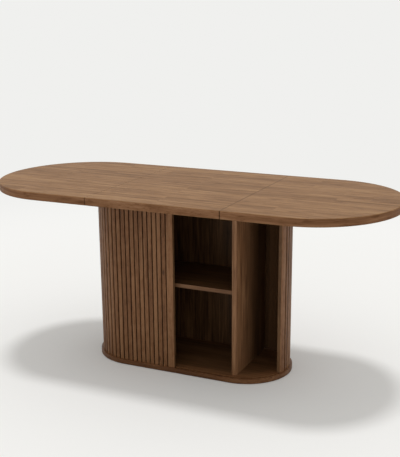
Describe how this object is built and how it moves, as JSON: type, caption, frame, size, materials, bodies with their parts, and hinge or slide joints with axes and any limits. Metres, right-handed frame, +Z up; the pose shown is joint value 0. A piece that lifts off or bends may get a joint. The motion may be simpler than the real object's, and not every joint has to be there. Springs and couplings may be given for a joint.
{
  "type": "pedestal dining table",
  "caption": "Oval extending pedestal dining table with a loose centre leaf and a slatted stadium base whose sliding tambour doors close shelves and end compartments.",
  "frame": {"origin": "on the floor under the middle of the top, which is also the middle of the base", "axes": "+X along the length of the top towards the end whose door stands open, +Y from the front with its doors to the back panel, +Z up"},
  "size_m": [1.756, 0.756, 0.76],
  "materials": {
    "top_veneer": "satin walnut veneer",
    "slats": "satin walnut",
    "boards": "satin walnut veneer",
    "beech": "plain beech",
    "channel_metal": "extruded",
    "fixings": "zinc plated",
    "glide_felt": "felt"
  },
  "bodies": {
    "pedestal": {"plinth": "boards", "floor_glides": "glide_felt", "base_top": "boards", "carcass_dowels": "beech", "left_divider": "boards", "right_divider": "boards", "shelf_pins": "fixings", "back_panel": "boards", "shelf": "boards", "front_channel": "channel_metal", "back_channel": "channel_metal", "channel_screws": "fixings"},
    "left_top": {"left_leaf": "top_veneer", "left_front_runner": "beech", "left_back_runner": "beech", "left_runner_screws": "fixings"},
    "right_top": {"right_leaf": "top_veneer", "right_front_runner": "beech", "right_back_runner": "beech", "right_runner_screws": "fixings"},
    "centre_top": {"centre_leaf": "top_veneer", "leaf_battens": "beech", "batten_screws": "fixings"},
    "left_lead": {"left_stile": "slats", "left_front_slats": "slats"},
    "left_end": {"left_end_slats": "slats"},
    "right_lead": {"right_stile": "slats"},
    "right_middle": {"right_slats_06": "slats", "right_slats_07": "slats"},
    "left_turn_1": {"left_turn_slats_1": "slats"},
    "left_turn_2": {"left_turn_slats_2": "slats"},
    "left_turn_3": {"left_turn_slats_3": "slats"},
    "left_tail_1": {"left_tail_slats_1": "slats"},
    "left_tail_2": {"left_tail_slats_2": "slats"},
    "right_pair_01": {"right_slats_01": "slats"},
    "right_pair_02": {"right_slats_02": "slats"},
    "right_pair_03": {"right_slats_03": "slats"},
    "right_pair_04": {"right_slats_04": "slats"},
    "right_pair_05": {"right_slats_05": "slats"},
    "right_pair_08": {"right_slats_08": "slats"},
    "right_pair_09": {"right_slats_09": "slats"},
    "right_pair_10": {"right_slats_10": "slats"},
    "right_pair_11": {"right_slats_11": "slats"},
    "right_pair_12": {"right_slats_12": "slats"},
    "right_pair_13": {"right_slats_13": "slats"},
    "right_pair_14": {"right_slats_14": "slats"},
    "right_pair_15": {"right_slats_15": "slats"},
    "right_pair_16": {"right_slats_16": "slats"},
    "right_pair_17": {"right_slats_17": "slats"}
  },
  "joints": [
    {"name": "left_top_slide", "type": "slide", "parent": "pedestal", "child": "left_top", "axis": [-1, 0, 0], "range_m": [0, 0.04]},
    {"name": "right_top_slide", "type": "slide", "parent": "pedestal", "child": "right_top", "axis": [1, 0, 0], "range_m": [0, 0.04]},
    {"name": "centre_leaf_lift", "type": "slide", "parent": "pedestal", "child": "centre_top", "axis": [0, 0, 1], "range_m": [0, 0.15]},
    {"name": "left_door_slide", "type": "slide", "parent": "pedestal", "child": "left_lead", "axis": [-1, 0, 0], "range_m": [0, 0.1248]},
    {"name": "left_turn_1_turn", "type": "hinge", "parent": "pedestal", "child": "left_turn_1", "pos_m": [-0.19033, 0.80313, 0.35], "axis": [0, 0, -1], "range_deg": [0, 7.31]},
    {"name": "left_turn_2_turn", "type": "hinge", "parent": "pedestal", "child": "left_turn_2", "pos_m": [-0.21271, 0.16477, 0.35], "axis": [0, 0, -1], "range_deg": [0, 20.93]},
    {"name": "left_turn_3_turn", "type": "hinge", "parent": "pedestal", "child": "left_turn_3", "pos_m": [-0.23385, 0.03088, 0.35], "axis": [0, 0, -1], "range_deg": [0, 34.55]},
    {"name": "left_end_turn", "type": "hinge", "parent": "pedestal", "child": "left_end", "pos_m": [-0.244, 0, 0.35], "axis": [0, 0, -1], "range_deg": [0, 40.87]},
    {"name": "left_tail_1_turn", "type": "hinge", "parent": "pedestal", "child": "left_tail_1", "pos_m": [-0.23687, -0.02005, 0.35], "axis": [0, 0, -1], "range_deg": [0, 36.51]},
    {"name": "left_tail_2_turn", "type": "hinge", "parent": "pedestal", "child": "left_tail_2", "pos_m": [-0.21578, -0.13556, 0.35], "axis": [0, 0, -1], "range_deg": [0, 22.89]},
    {"name": "right_door_turn", "type": "hinge", "parent": "pedestal", "child": "right_middle", "pos_m": [0.244, 0, 0.35], "axis": [0, 0, -1], "range_deg": [0, 147.92]},
    {"name": "right_lead_turn", "type": "hinge", "parent": "pedestal", "child": "right_lead", "pos_m": [0.13225, 0.1463, 0.35], "axis": [0, 0, -1], "range_deg": [0, 74.77]},
    {"name": "right_pair_01_turn", "type": "hinge", "parent": "pedestal", "child": "right_pair_01", "pos_m": [0.15099, 0.09748, 0.35], "axis": [0, 0, -1], "range_deg": [0, 87.14]},
    {"name": "right_pair_02_turn", "type": "hinge", "parent": "pedestal", "child": "right_pair_02", "pos_m": [0.17182, 0.05951, 0.35], "axis": [0, 0, -1], "range_deg": [0, 100.76]},
    {"name": "right_pair_03_turn", "type": "hinge", "parent": "pedestal", "child": "right_pair_03", "pos_m": [0.19265, 0.0329, 0.35], "axis": [0, 0, -1], "range_deg": [0, 114.38]},
    {"name": "right_pair_04_turn", "type": "hinge", "parent": "pedestal", "child": "right_pair_04", "pos_m": [0.21347, 0.0147, 0.35], "axis": [0, 0, -1], "range_deg": [0, 128]},
    {"name": "right_pair_05_turn", "type": "hinge", "parent": "pedestal", "child": "right_pair_05", "pos_m": [0.2343, 0.00321, 0.35], "axis": [0, 0, -1], "range_deg": [0, 141.62]},
    {"name": "right_pair_08_turn", "type": "hinge", "parent": "pedestal", "child": "right_pair_08", "pos_m": [0.23947, -0.00126, 0.35], "axis": [0, 0, -1], "range_deg": [0, 145.01]},
    {"name": "right_pair_09_turn", "type": "hinge", "parent": "pedestal", "child": "right_pair_09", "pos_m": [0.21937, -0.01082, 0.35], "axis": [0, 0, -1], "range_deg": [0, 131.86]},
    {"name": "right_pair_10_turn", "type": "hinge", "parent": "pedestal", "child": "right_pair_10", "pos_m": [0.19855, -0.02698, 0.35], "axis": [0, 0, -1], "range_deg": [0, 118.24]},
    {"name": "right_pair_11_turn", "type": "hinge", "parent": "pedestal", "child": "right_pair_11", "pos_m": [0.17772, -0.05098, 0.35], "axis": [0, 0, -1], "range_deg": [0, 104.62]},
    {"name": "right_pair_12_turn", "type": "hinge", "parent": "pedestal", "child": "right_pair_12", "pos_m": [0.15689, -0.08533, 0.35], "axis": [0, 0, -1], "range_deg": [0, 91]},
    {"name": "right_pair_13_turn", "type": "hinge", "parent": "pedestal", "child": "right_pair_13", "pos_m": [0.13604, -0.13445, 0.35], "axis": [0, 0, -1], "range_deg": [0, 77.38]},
    {"name": "right_pair_14_turn", "type": "hinge", "parent": "pedestal", "child": "right_pair_14", "pos_m": [0.11519, -0.20664, 0.35], "axis": [0, 0, -1], "range_deg": [0, 63.76]},
    {"name": "right_pair_15_turn", "type": "hinge", "parent": "pedestal", "child": "right_pair_15", "pos_m": [0.09431, -0.31929, 0.35], "axis": [0, 0, -1], "range_deg": [0, 50.14]},
    {"name": "right_pair_16_turn", "type": "hinge", "parent": "pedestal", "child": "right_pair_16", "pos_m": [0.07337, -0.5159, 0.35], "axis": [0, 0, -1], "range_deg": [0, 36.52]},
    {"name": "right_pair_17_turn", "type": "hinge", "parent": "pedestal", "child": "right_pair_17", "pos_m": [0.05228, -0.94357, 0.35], "axis": [0, 0, -1], "range_deg": [0, 22.9]}
  ],
  "couplings": [
    {"joint": "left_turn_1_turn", "follows": "left_door_slide", "rad_per_m": 1.0211},
    {"joint": "left_turn_2_turn", "follows": "left_door_slide", "rad_per_m": 2.9258},
    {"joint": "left_turn_3_turn", "follows": "left_door_slide", "rad_per_m": 4.8306},
    {"joint": "left_end_turn", "follows": "left_door_slide", "rad_per_m": 5.7143},
    {"joint": "left_tail_1_turn", "follows": "left_door_slide", "rad_per_m": 5.1043},
    {"joint": "left_tail_2_turn", "follows": "left_door_slide", "rad_per_m": 3.1996},
    {"joint": "right_lead_turn", "follows": "right_door_turn", "ratio": 0.50531},
    {"joint": "right_pair_01_turn", "follows": "right_door_turn", "ratio": 0.58898},
    {"joint": "right_pair_02_turn", "follows": "right_door_turn", "ratio": 0.68106},
    {"joint": "right_pair_03_turn", "follows": "right_door_turn", "ratio": 0.77313},
    {"joint": "right_pair_04_turn", "follows": "right_door_turn", "ratio": 0.86521},
    {"joint": "right_pair_05_turn", "follows": "right_door_turn", "ratio": 0.95728},
    {"joint": "right_pair_08_turn", "follows": "right_door_turn", "ratio": 0.98016},
    {"joint": "right_pair_09_turn", "follows": "right_door_turn", "ratio": 0.89127},
    {"joint": "right_pair_10_turn", "follows": "right_door_turn", "ratio": 0.79919},
    {"joint": "right_pair_11_turn", "follows": "right_door_turn", "ratio": 0.70712},
    {"joint": "right_pair_12_turn", "follows": "right_door_turn", "ratio": 0.61504},
    {"joint": "right_pair_13_turn", "follows": "right_door_turn", "ratio": 0.52297},
    {"joint": "right_pair_14_turn", "follows": "right_door_turn", "ratio": 0.43089},
    {"joint": "right_pair_15_turn", "follows": "right_door_turn", "ratio": 0.33882},
    {"joint": "right_pair_16_turn", "follows": "right_door_turn", "ratio": 0.24674},
    {"joint": "right_pair_17_turn", "follows": "right_door_turn", "ratio": 0.15467}
  ]
}
